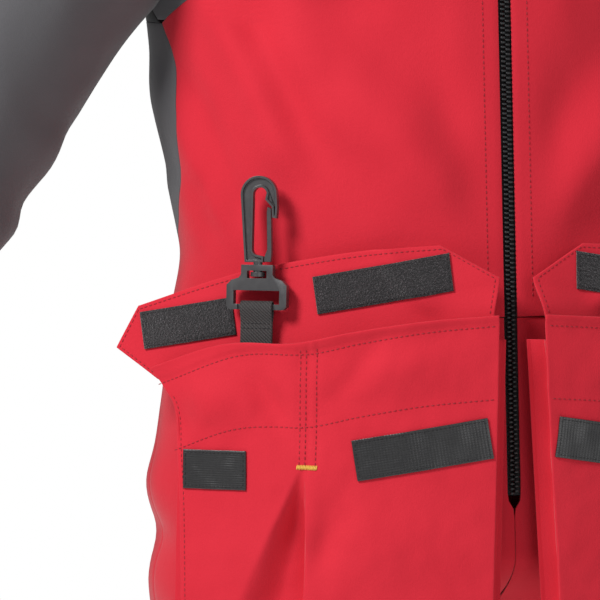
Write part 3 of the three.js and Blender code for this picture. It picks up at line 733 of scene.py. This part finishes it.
# ---------------------------------------------------------------------------- hip pockets
# A bellows pocket hangs on each hip: a back wall, a gusset folded in round three sides,
# and an outer leaf with a soft lip at its mouth. A doubled seam runs down the leaf to a
# bar of yellow tacking, and a pleat opens below that.
POCKET_Z, POCKET_LEAN, STAND, BEND = 950, 0.09, 20.6, 320
OUTER, INNER, BOTTOM, BELLOWS = -90, 114, 802, 17
hip = trunk(-37, POCKET_Z)
along_hip = (trunk(-36.5, POCKET_Z) - trunk(-37.5, POCKET_Z)).normalized()
pocket_q = Vector((along_hip.x, along_hip.y, 0))
pocket_n = Vector((along_hip.y, -along_hip.x, 0))
mouth = smooth(
    (-106, 966), (-88, 973), (-55, 986), (-35, 990), (0, 991), (32, 998), (72, 1005), (114, 1009),
)


def at_pocket(q, n, z):
    """A point q mm along the pocket towards the zip, n mm out from the hip, at height z."""
    out = n - POCKET_LEAN * (z - POCKET_Z)
    return Vector((hip.x, hip.y, z)) + pocket_q * q + pocket_n * out


leaf_side = smooth((800, -80), (884, -83), (925, -86), (950, -89), (962, -97), (972, -105))


def stand(q):
    """How far the leaf stands out from the hip, less towards its two ends."""
    return STAND - q * q / (2 * BEND)


def hump(q, z, at_q, at_z, wide, tall, slant=0.0, rise=0.0):
    """A soft swell that is 1 at its middle and fades out all round."""
    across = (q - at_q - (z - at_z) * slant) / wide
    upward = (z - at_z - q * rise) / tall
    return exp(-(across ** 2) - upward ** 2)


leaf_swells = (  # how deep, then each one's middle, width, height, slant and rise
    (6.0, -62, 955, 26, 17),
    (-4.6, -26, 955, 10, 20, -0.5),
    (-2.6, -84, 944, 9, 16),
    (4.2, 52, 970, 42, 15, 0.0, 0.1),
    (-2.6, 27.2, 972, 9, 16, 0.6),
    (4.2, 48, 868, 40, 24),
    (-5.2, 11.3, 868, 12, 26, 0.35),
)
TACK_Z, SEAM_ROWS = 915, (-6.3, 6.3)


def leaf_swell(q, z):
    """The outer leaf's hollows and swells: the lip, the middle seam, the pleat and folds."""
    below = max(0, TACK_Z - z)
    depth = 14 * ease(-6, 50, below)
    width = 3 + 38 * below / 81
    pleat = -depth * ease(-0.6, -2.6, q) * (1 - ease(0.35 * width, width, -q - 2))
    pleat += 1.4 * ease(0, 30, below) * exp(-(((q - 3) / 7) ** 2)) * (q > -0.6)
    sewn = -0.9 * exp(-((q / 1.1) ** 2))
    sewn -= 0.35 * sum(exp(-(((q - row) / 1.2) ** 2)) for row in SEAM_ROWS)
    sewn *= ease(TACK_Z - 7, TACK_Z + 3, z)
    drop = mouth(q) - z
    lip = 3.6 * exp(-(drop / 8)) * (0.6 + 0.4 * sin(q / 34 + 0.6))
    bead = 0.9 * ease(5, 1.5, drop)
    folds = sum(deep * hump(q, z, *form) for deep, *form in leaf_swells)
    wrinkles = 1.1 * noise.noise(Vector((q / 26, z / 34, 1.7)))
    wrinkles += 0.5 * noise.noise(Vector((q / 11, z / 13, 5.1)))
    return pleat + sewn + lip + bead + folds + wrinkles


def leaf_at(q, z, off=0.0):
    """A point of the outer leaf, off mm above its cloth."""
    return at_pocket(q, stand(q) + CLOTH + leaf_swell(q, z) + off, z)


def leaf_point(i, j):
    rough = OUTER + (INNER - OUTER) * i
    z = BOTTOM - 2 + (mouth(rough) - BOTTOM + 2) * j
    side = leaf_side(z)
    return leaf_at(side + (INNER - side) * i, z)


def bag_top(q):
    """The sewn edge of the gusset and the back wall, a little below the leaf's mouth."""
    return 971.5 + 0.185 * q


def gusset_point(i, j):
    """i runs down the outer side, along the bottom and up the side by the zip."""
    top_out = bag_top(OUTER)
    drop, across, climb = top_out - BOTTOM, INNER - OUTER, bag_top(INNER) - BOTTOM
    run = i * (drop + across + climb)
    fold = 7.5 * (1 - abs(2 * j - 1)) * (1 + 0.25 * noise.noise(Vector((run / 24, 0.3, 2))))
    if run < drop:
        q, z, push = leaf_side(top_out - run) + 0.5, top_out - run, Vector((1, 0))
    elif run < drop + across:
        q = leaf_side(BOTTOM) + (INNER - leaf_side(BOTTOM)) * (run - drop) / across
        z, push = BOTTOM, Vector((0, 1))
    else:
        q, z, push = INNER, BOTTOM + run - drop - across, Vector((-1, 0))
    fold *= min(ease(-8, 26, abs(run - drop)), ease(-8, 26, abs(run - drop - across)))
    at = Vector((q, z)) + push * (fold + 0.4)
    deep = stand(q) - BELLOWS + 0.3 + (BELLOWS + 0.4) * j
    return at_pocket(at.x, deep, at.y)


def back_wall_point(i, j):
    q = OUTER + (INNER - OUTER) * (1 - i)
    z = BOTTOM + (bag_top(q) - BOTTOM) * j
    return at_pocket(q, stand(q) - BELLOWS + 0.6, z)


def mirrored(rows, mirror):
    """The same lines on the pocket's own side of the suit."""
    return [lambda s, row=row: row(s) * mirror for row in rows]


YELLOW_THREAD = thread_paint("yellow_thread", (0.86, 0.52, 0.08))
seam_rows = [lambda s, q=q: leaf_at(q, 916 + (mouth(q) - 919) * s, 0.1) for q in (-5.2, 5.2, -1.6)]
seam_rows += [
    lambda s: leaf_at(-88 + 200 * s, mouth(-88 + 200 * s) - 51, 0.1),
    lambda s: leaf_at(-100 + 212 * s, mouth(-100 + 212 * s) - 6.5, 0.1),
    lambda s: leaf_at(leaf_side(806 + 150 * s) + 3, 806 + 150 * s, 0.1),
]
tack_rows = [
    lambda s, n=n: leaf_at(-6.6 + n * 0.95 + 0.5 * s, 914.2 + 2.6 * s, 0.35) for n in range(14)
]
both = (("right", Vector((1, 1, 1)), False), ("left", Vector((-1, 1, 1)), True))
for side, mirror, flip in both:
    leaf = cloth(f"pocket_front_{side}", (150, 120), lambda i, j: leaf_point(i, j) * mirror, RED,
                 wall=1.5, edge=0.5, flip=flip)
    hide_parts(f"pocket_front_{side}")
    gusset = cloth(f"pocket_gusset_{side}", (200, 12), lambda i, j: gusset_point(i, j) * mirror, RED,
                   wall=0.9, flip=flip)
    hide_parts(f"pocket_bag_{side}")
    wall = cloth(f"pocket_back_{side}", (30, 26), lambda i, j: back_wall_point(i, j) * mirror, RED,
                 wall=0.9, flip=flip)
    seams = stitch_rows(f"pocket_stitching_{side}", mirrored(seam_rows, mirror), RED_THREAD)
    tack = stitch_rows(f"pocket_tack_{side}", mirrored(tack_rows, mirror), YELLOW_THREAD,
                       pitch=3, length=3.6, width=0.55)

# ---------------------------------------------------------------------------- hook tape
# Two patches of hook tape on each pocket, woven of stiff glossy yarn with fine ribs
# along their length, sewn down all round.
hook_tape = Paint("hook_tape", Roughness=0.3, Specular_IOR_Level=0.75, Coat_Weight=0.35,
                  Coat_Roughness=0.28)
rib, row = hook_tape.cut(44, 17)
ribs = row.sine() * 0.55 + rib.sine() * 0.45
hook_tape.set("Base Color", hook_tape.blend(ribs * 0.5 + 0.5, (0.003, 0.003, 0.003), (0.014, 0.013, 0.014)))
hook_tape.set("Roughness", hook_tape.speckle(500) * 0.2 + 0.24)
hook_tape.bump(ribs + hook_tape.speckle(2200) * 0.3, 0.00012, 0.5)
BLACK_THREAD = thread_paint("black_thread", (0.012, 0.011, 0.013))


def patch_on_leaf(q, z, length, width, turn, i, j, off):
    """A point of a patch centred on (q, z) and turned by turn radians."""
    run, rise = (i - 0.5) * length, (j - 0.5) * width
    across = q + run * cos(turn) - rise * sin(turn)
    up = z + run * sin(turn) + rise * cos(turn)
    return leaf_at(across, up, off)


def border(inset, length, width, put):
    """Four rows of stitches just inside a patch's edge, as functions of 0..1."""
    a, b = inset / length, inset / width
    corners = [(a, b), (1 - a, b), (1 - a, 1 - b), (a, 1 - b), (a, b)]
    return [
        lambda s, p=p, r=r: put(p[0] + (r[0] - p[0]) * s, p[1] + (r[1] - p[1]) * s)
        for p, r in zip(corners, corners[1:])
    ]


for side, mirror, flip in both:
    for name, q, z, length, width, lean in (
        ("hook_patch_outer", -60, 912, 42, 24, 1), ("hook_patch_inner", 70, 927.5, 82, 25, 10),
    ):
        def put(i, j, off=1.35):
            soften = 0.25 * noise.noise(Vector((i * 7, j * 3, q)))
            return patch_on_leaf(q, z, length, width, radians(lean), i, j, off + soften) * mirror

        cells = int(length * 1.2), int(width * 1.2)
        patch = cloth(f"{name}_{side}", cells, put, hook_tape.material,
                      wall=1.2, edge=0.3, flip=flip)
        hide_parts(f"{name}_{side}")
        edges = border(1.8, length, width, lambda i, j: put(i, j, 1.5))
        sewn = stitch_rows(f"{name}_stitching_{side}", edges, BLACK_THREAD,
                           pitch=2.6, length=2.0, width=0.3)

# ---------------------------------------------------------------------------- flaps
# Each pocket's flap is a six-cornered leaf of doubled softshell, turned up so that its
# inside shows. It is topstitched 3 mm from its free edges and bends over at its root.
FLAP_TILT, FLAP_LEAN, FLAP_BEND = radians(10.5), 0.085, 520
ROOT_Z, ROOT_STAND = 983.5, 9
flap_outer = bent((0, -104), (0.5, -129.5), (1, -111))
flap_inner = bent((0, 111), (0.5, 117.7), (1, 85))
flap_crest = smooth((0, 46.5), (0.32, 55.8), (0.53, 57.6), (0.78, 56.7), (1, 52))


def at_flap(p, h, out):
    """A point p mm along the flap's root, h mm up from it and out mm off its middle."""
    q = p * cos(FLAP_TILT) - h * sin(FLAP_TILT)
    z = ROOT_Z + p * sin(FLAP_TILT) + h * cos(FLAP_TILT)
    wave = 1.5 * sin(p / 31 + 0.8) * h / 57 + 0.7 * noise.noise(Vector((p / 24, h / 24, 3.3)))
    fold = p - 66 + 0.55 * (h - 30)
    wave += ease(6, 24, h) * (3.2 * exp(-((fold / 9) ** 2)) - 0.10 * max(0, fold - 4))
    away = ROOT_STAND - FLAP_LEAN * h - p * p / (2 * FLAP_BEND) + wave
    return at_pocket(q, away + out, z)


def on_flap(i, j, out=0.0):
    p = flap_outer(j) + (flap_inner(j) - flap_outer(j)) * i
    h = j * flap_crest(i)
    return at_flap(p, h, CLOTH + 0.2 + out)


def root_point(i, j):
    """The flap's root goes down behind the lip and is sewn to the pocket's back wall."""
    p = -88 + 196 * i
    return at_flap(p, -13, -1.5).lerp(at_flap(p, 0.4, CLOTH - 0.6), j)


flap_rows = [
    lambda s: on_flap(0.012, 0.04 + 0.91 * s, 0.1),
    lambda s: on_flap(0.988, 0.04 + 0.91 * s, 0.1),
    lambda s: on_flap(0.012 + 0.976 * s, 0.945, 0.1),
]
for side, mirror, flip in both:
    body = f"flap_{side}"
    leaf = cloth(f"pocket_flap_{side}", (150, 36), lambda i, j: on_flap(i, j) * mirror, RED,
                 body=body, wall=1.6, edge=0.6, flip=flip)
    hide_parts(f"pocket_flap_{side}")
    root = cloth(f"pocket_flap_root_{side}", (60, 12), lambda i, j: root_point(i, j) * mirror, RED,
                 body=None, wall=0.9, edge=0, flip=flip)
    ends = [(at_flap(0, h, 0) * mirror - HANG) * MM for h in (-12, -0.5)]
    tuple(ends[0])
    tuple(ends[1])
    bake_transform(root)
    sewn = stitch_rows(f"flap_stitching_{side}", mirrored(flap_rows, mirror), RED_THREAD, body=body)

# ---------------------------------------------------------------------------- loop tape
# The flap carries two patches of loop tape, a dense black pile of tiny loops that
# shows pale ends of fibre, sewn down round its edge.
pile = Paint("loop_pile", Roughness=0.95, Sheen_Weight=0.35, Sheen_Roughness=0.5)
tuft = pile.speckle(900, 3.0, 0.7)
fleck = pile.speckle(1700, 1.0, 0.6)
pile.set("Base Color", pile.blend((fleck - 0.56) * 5.5, (0.006, 0.004, 0.005), (0.110, 0.090, 0.098)))
pile.bump(tuft + fleck * 0.5, 0.0012, 1.0)
for side, mirror, flip in both:
    for name, p, h, length, width in (
        ("loop_patch_outer", -79, 31, 62, 23), ("loop_patch_inner", 48, 35, 84, 23),
    ):
        def put(i, j, off=3.0):
            edge = min(i * length, (1 - i) * length, j * width, (1 - j) * width)
            fuzz = 0.45 * noise.noise(Vector((i * length, j * width, p)) * 1.15) * ease(0, 2.5, edge)
            run, rise = (i - 0.5) * length, (j - 0.5) * width
            return at_flap(p + run, h + rise, off + fuzz + 0.35 * ease(0, 2.5, edge)) * mirror

        cells = int(length * 2.2), int(width * 2.2)
        patch = cloth(f"{name}_{side}", cells, put, pile.material,
                      body=f"flap_{side}", wall=1.2, edge=0, flip=flip)
        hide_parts(f"{name}_{side}")
        edges = border(1.6, length, width, lambda i, j: put(i, j, 3.1))
        sewn = stitch_rows(f"{name}_stitching_{side}", edges, BLACK_THREAD, body=f"flap_{side}",
                           pitch=2.6, length=2.0, width=0.3)

# ---------------------------------------------------------------------------- key strap
# A strap of 20 mm webbing goes down into the right pocket. It passes round the bar of
# the snap hook's base and is sewn to itself just below.
HOOK_Q, HOOK_STAND, HOOK_Z = -35.7, 14.6, 1010  # the foot of the hook's base
WEBBING_WIDTH, BAR, DROP = 20, 1.7, 41  # DROP is the strap's length below the base
hook_up = (Vector((0, 0, 1)) - pocket_n * POCKET_LEAN).normalized()
hook_out = pocket_q.cross(hook_up)
hook_foot = at_pocket(HOOK_Q, HOOK_STAND, HOOK_Z)


def at_hook(x, y, n):
    """A point x mm across, y mm up and n mm out from the foot of the hook's base."""
    return hook_foot + pocket_q * x + hook_up * y + hook_out * n


webbing = Paint("webbing", Roughness=0.72, Specular_IOR_Level=0.35)
across, along = webbing.cut(18, 92)
twill = (across + along * 0.5).sine() * (across * 0.5).sine()
webbing.set("Base Color", webbing.blend(twill * 0.5 + 0.5, (0.030, 0.026, 0.026), (0.115, 0.105, 0.104)))
webbing.bump(twill + webbing.speckle(2600) * 0.4, 0.0006, 0.9)


def strap_line(s):
    """The webbing's middle, in (n, y): up in front, over the bar and down behind."""
    plies = [(0.75, -DROP), (0.75, BAR - 9), (3.2, BAR - 1.5)]
    over = [(3.25 * cos(a), BAR + 3.25 * sin(a)) for a in (n * pi / 12 for n in range(13))]
    line = plies + over + [(-n, y) for n, y in reversed(plies)]
    lengths = [hypot(b[0] - a[0], b[1] - a[1]) for a, b in zip(line, line[1:])]
    reach = s * sum(lengths)
    for (a, b), run in zip(zip(line, line[1:]), lengths):
        if reach <= run + 1e-6:
            share = reach / run
            return a[0] + (b[0] - a[0]) * share, a[1] + (b[1] - a[1]) * share
        reach -= run
    return line[-1]


def strap_point(i, j):
    n, y = strap_line(j)
    return at_hook((i - 0.5) * WEBBING_WIDTH, y, n)


def strap_root_point(i, j):
    """Below its seam the strap runs down as one ply to the pocket's back wall."""
    return at_hook((i - 0.5) * WEBBING_WIDTH, -DROP - 30 + 30.5 * j, -0.4 - 2.5 * (1 - j))


strap = cloth("key_strap", (24, 130), strap_point, webbing.material, body="strap", wall=1.1, edge=0.3)
strap.modifiers["wall"].offset = 0
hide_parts("key_strap")
root = cloth("key_strap_root", (24, 40), strap_root_point, webbing.material,
             body=None, wall=1.1, edge=0.3)
root.modifiers["wall"].offset = 0
ends = [(at_hook(0, y, 0) - HANG) * MM for y in (-DROP - 28, -DROP)]
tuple(ends[0])
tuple(ends[1])
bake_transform(root)
joining = [lambda s, y=y: at_hook(-9 + 18 * s, BAR - y, 1.45) for y in (10, 13)]
sewn = stitch_rows("key_strap_stitching", joining, BLACK_THREAD, body="strap",
                   pitch=2.4, length=1.9, width=0.32)

# ---------------------------------------------------------------------------- snap hook
# A moulded swivel hook of dark grey plastic. The base has a bar for the webbing and a
# window where the swivel's head turns. The hook's arm is recessed along its middle,
# which leaves a raised rail each side, and a sprung tongue closes its eye.
plastic = Paint("grey_plastic", Roughness=0.3, Specular_IOR_Level=0.7, Coat_Weight=0.25,
                Coat_Roughness=0.22)
cloudy = plastic.blend(plastic.speckle(160, 3.0), (0.032, 0.030, 0.032), (0.052, 0.050, 0.052))
plastic.set("Base Color", cloudy)
plastic.set("Roughness", plastic.speckle(240, 2.0) * 0.25 + 0.24)
plastic.bump(plastic.speckle(1500, 2.0), 0.00012, 0.5)
HOOK_RISE, HOOK_LONG, HOOK_R = 29.1, 53, 11.4  # from the base's foot up to the hook's own foot


def arc(x, y, radius, start, end, count):
    """Points of an arc about (x, y), between two angles in radians."""
    steps = [start + (end - start) * n / count for n in range(count + 1)]
    return [(x + radius * cos(a), y + radius * sin(a)) for a in steps]


def moulded(name, outline, depth, rise, body, recess=0.0, edge=0.6, extra=()):
    """A plate cut to an outline, rounded at its edges, with a recess inside a raised rail.
    Extra holds round pins on its axis, as (radius, foot, top)."""
    bm = bmesh.new()
    ring = [bm.verts.new((x, y, -depth / 2)) for x, y in outline]
    face = bm.faces.new(ring)
    grown = bmesh.ops.extrude_face_region(bm, geom=[face])
    lifted = [v for v in grown["geom"] if isinstance(v, bmesh.types.BMVert)]
    bmesh.ops.translate(bm, verts=lifted, vec=(0, 0, depth))
    bmesh.ops.recalc_face_normals(bm, faces=bm.faces[:])
    if recess:
        front = [f for f in bm.faces if f.normal.z > 0.9]
        bmesh.ops.inset_region(bm, faces=front, thickness=1.25, depth=0, use_even_offset=True)
        bmesh.ops.inset_region(bm, faces=front, thickness=0.45, depth=-recess, use_even_offset=True)
    for radius, low, high in extra:
        turned = Matrix.Translation((0, (low + high) / 2, 0)) @ Matrix.Rotation(pi / 2, 4, "X")
        bmesh.ops.create_cone(bm, cap_ends=True, segments=32, radius1=radius, radius2=radius,
                              depth=high - low, matrix=turned)
    for vert in bm.verts:
        at = at_hook(vert.co.x, vert.co.y + rise, vert.co.z)
        vert.co = (at - HANG) * MM
    piece = new_piece(name, bm, plastic.material, body)
    rim = piece.modifiers.new("rim", "BEVEL")
    rim.width = edge * MM
    rim.segments = 3
    rim.limit_method = "ANGLE"
    rim.angle_limit = radians(38)
    rim.harden_normals = True
    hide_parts(name)


centre_y = HOOK_LONG - HOOK_R
hook_outline = (
    [(-8, 0), (3.8, 0), (3.8, 3.6), (0.2, 4.4)]
    + arc(0.2, 8, 3.6, -pi / 2, -pi, 6)[1:]
    + arc(0.9, centre_y, 4.3, pi, 0.25, 10)
    + [(4.2, centre_y - 3.2), (8.4, centre_y - 7.5), (8.8, 27.5), (11.6, 27), (12, 33.5)]
    + arc(0, centre_y, HOOK_R, 0, pi, 18)
)
gate_outline = [(4.2, 0.3), (8.4, 0.3), (8.9, 6), (7.9, 33), (5.6, 34), (5.2, 31), (6, 8), (4.2, 3)]
swivel = ((2.8, -8.9, 1), (4.4, -8.8, -6))  # radius, foot and top of its neck and its head
moulded("snap_hook", hook_outline, 5, HOOK_RISE, "hook", recess=1.5, edge=0.5, extra=swivel)
moulded("snap_hook_gate", gate_outline, 4, HOOK_RISE, "gate", edge=0.45)
softened("snap_hook_base", "hook_base", plastic.material, 0.7)

# ---------------------------------------------------------------------------- hanger loop
# A short loop of black round cord, sewn in under the back of the collar. The suit hangs
# by it.
softened("hanger_loop", "suit", BLACK_AND_ARMPIT_SHADE, 0.2)

# ---------------------------------------------------------------------------- light and floor
# Soft studio light: a broad key high on the camera's left, a weaker fill from the right,
# an even pale surround and a pale floor.
world = bpy.data.worlds.new("surround")
world.use_nodes = True
surround = Nodes(world.node_tree)
soft = surround.tree.nodes["Background"]
soft.inputs["Color"].default_value = (0.97, 0.98, 1.0, 1)
soft.inputs["Strength"].default_value = 0.30
white = surround.node("ShaderNodeBackground", None, {"Color": (1, 1, 1, 1), "Strength": 1.0})
seen = surround.node("ShaderNodeLightPath")
either = surround.node("ShaderNodeMixShader", None, {
    0: seen.outputs["Is Camera Ray"], 1: soft.outputs[0], 2: white.outputs[0],
})
surround.tree.links.new(either.outputs[0], surround.tree.nodes["World Output"].inputs[0])
bpy.context.scene.world = world
for name, direction, away, size, power in (
    ("key", (-1.0, -0.52, 1.0), 2.4, 0.7, 62), ("fill", (0.35, -1.0, 0.25), 3.0, 1.8, 13),
):
    data = bpy.data.lights.new(name, "AREA")
    data.size = size
    data.energy = power
    lamp = bpy.data.objects.new(name, data)
    facing = Vector(direction).normalized()
    lamp.location = aim + facing * away
    lamp.rotation_euler = facing.to_track_quat("Z", "Y").to_euler()
    bpy.context.collection.objects.link(lamp)
bm = bmesh.new()
bmesh.ops.create_grid(bm, x_segments=1, y_segments=1, size=3)
bmesh.ops.translate(bm, verts=bm.verts[:], vec=(0, 0, cad_low.z - 0.06))
floor_mesh = bpy.data.meshes.new("floor")
bm.to_mesh(floor_mesh)
bm.free()
floor_paint = Paint("pale_floor", Roughness=0.9, Emission_Color=(1, 1, 1, 1), Emission_Strength=0.34)
floor_colour = floor_paint.blend(floor_paint.speckle(3), (0.80, 0.80, 0.79), (0.84, 0.84, 0.83))
floor_paint.set("Base Color", floor_colour)
floor_mesh.materials.append(floor_paint.material)
floor = bpy.data.objects.new("floor", floor_mesh)
bpy.context.collection.objects.link(floor)
floor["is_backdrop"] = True

low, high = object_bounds()
{"cad": [list(cad_low), list(cad_high)], "visual": [list(low), list(high)]}
